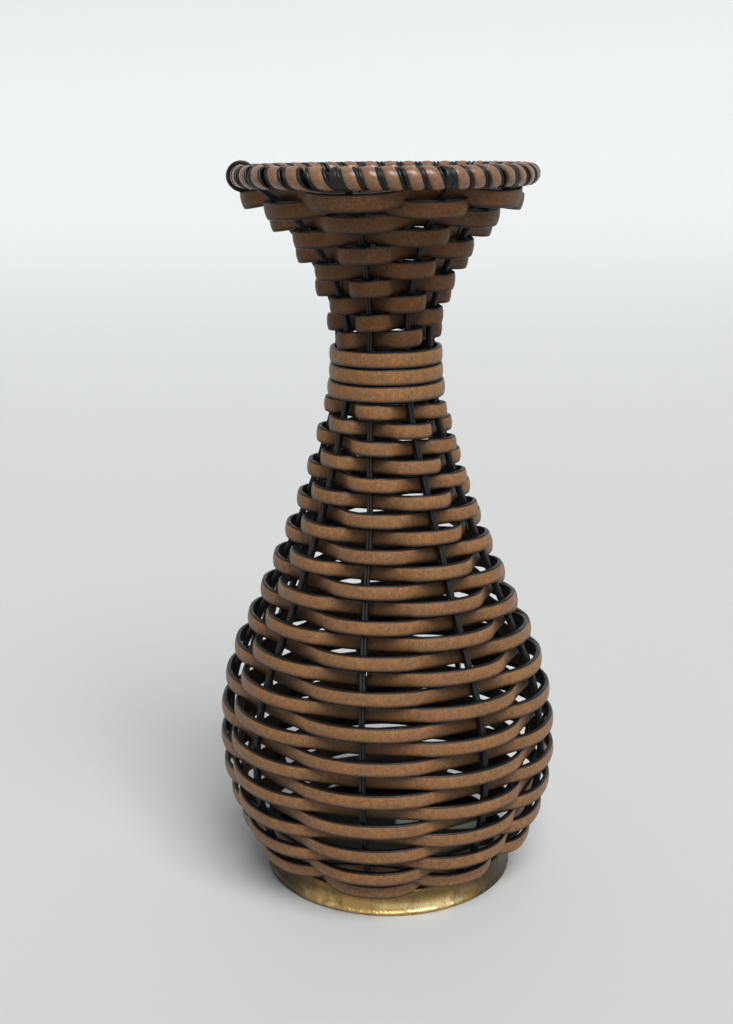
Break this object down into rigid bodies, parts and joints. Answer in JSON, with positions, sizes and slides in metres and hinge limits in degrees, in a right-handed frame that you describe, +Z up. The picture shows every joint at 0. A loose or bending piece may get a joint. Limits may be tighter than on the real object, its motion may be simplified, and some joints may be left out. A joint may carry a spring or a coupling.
{
  "type": "woven table vase",
  "caption": "Tall round woven vase with a full belly, a narrow banded neck, a flared mouth with a lashed rim, and a gold-coloured metal foot ring to stand on.",
  "frame": {"origin": "middle of the underside, where the vase stands", "axes": "+Z up through the neck and mouth, -Y is the side that the picture shows"},
  "size_m": [0.1427, 0.1444, 0.3001],
  "materials": {
    "brown_strip": "satin fibrous brown strip with black edges and back",
    "black_stake": "glossy black, ribbed lengthwise",
    "gold_metal": "satin gold-coloured metal",
    "plate_metal": "satin grey-green paint"
  },
  "bodies": {
    "root": {"foot_ring": "gold_metal", "base_plate": "plate_metal", "stake_1": "black_stake", "stake_2": "black_stake", "stake_3": "black_stake", "stake_4": "black_stake", "stake_5": "black_stake", "stake_6": "black_stake", "stake_7": "black_stake", "stake_8": "black_stake", "stake_9": "black_stake", "body_weaver_1": "brown_strip", "body_weaver_2": "brown_strip", "body_weaver_3": "brown_strip", "body_weaver_4": "brown_strip", "body_weaver_5": "brown_strip", "body_weaver_6": "brown_strip", "body_weaver_7": "brown_strip", "body_weaver_8": "brown_strip", "neck_band_1": "brown_strip", "neck_band_2": "brown_strip", "neck_band_3": "brown_strip", "mouth_weaver_1": "brown_strip", "mouth_weaver_2": "brown_strip", "mouth_weaver_3": "brown_strip", "rim_hoop": "black_stake", "rim_lashing": "brown_strip"}
  },
  "joints": []
}
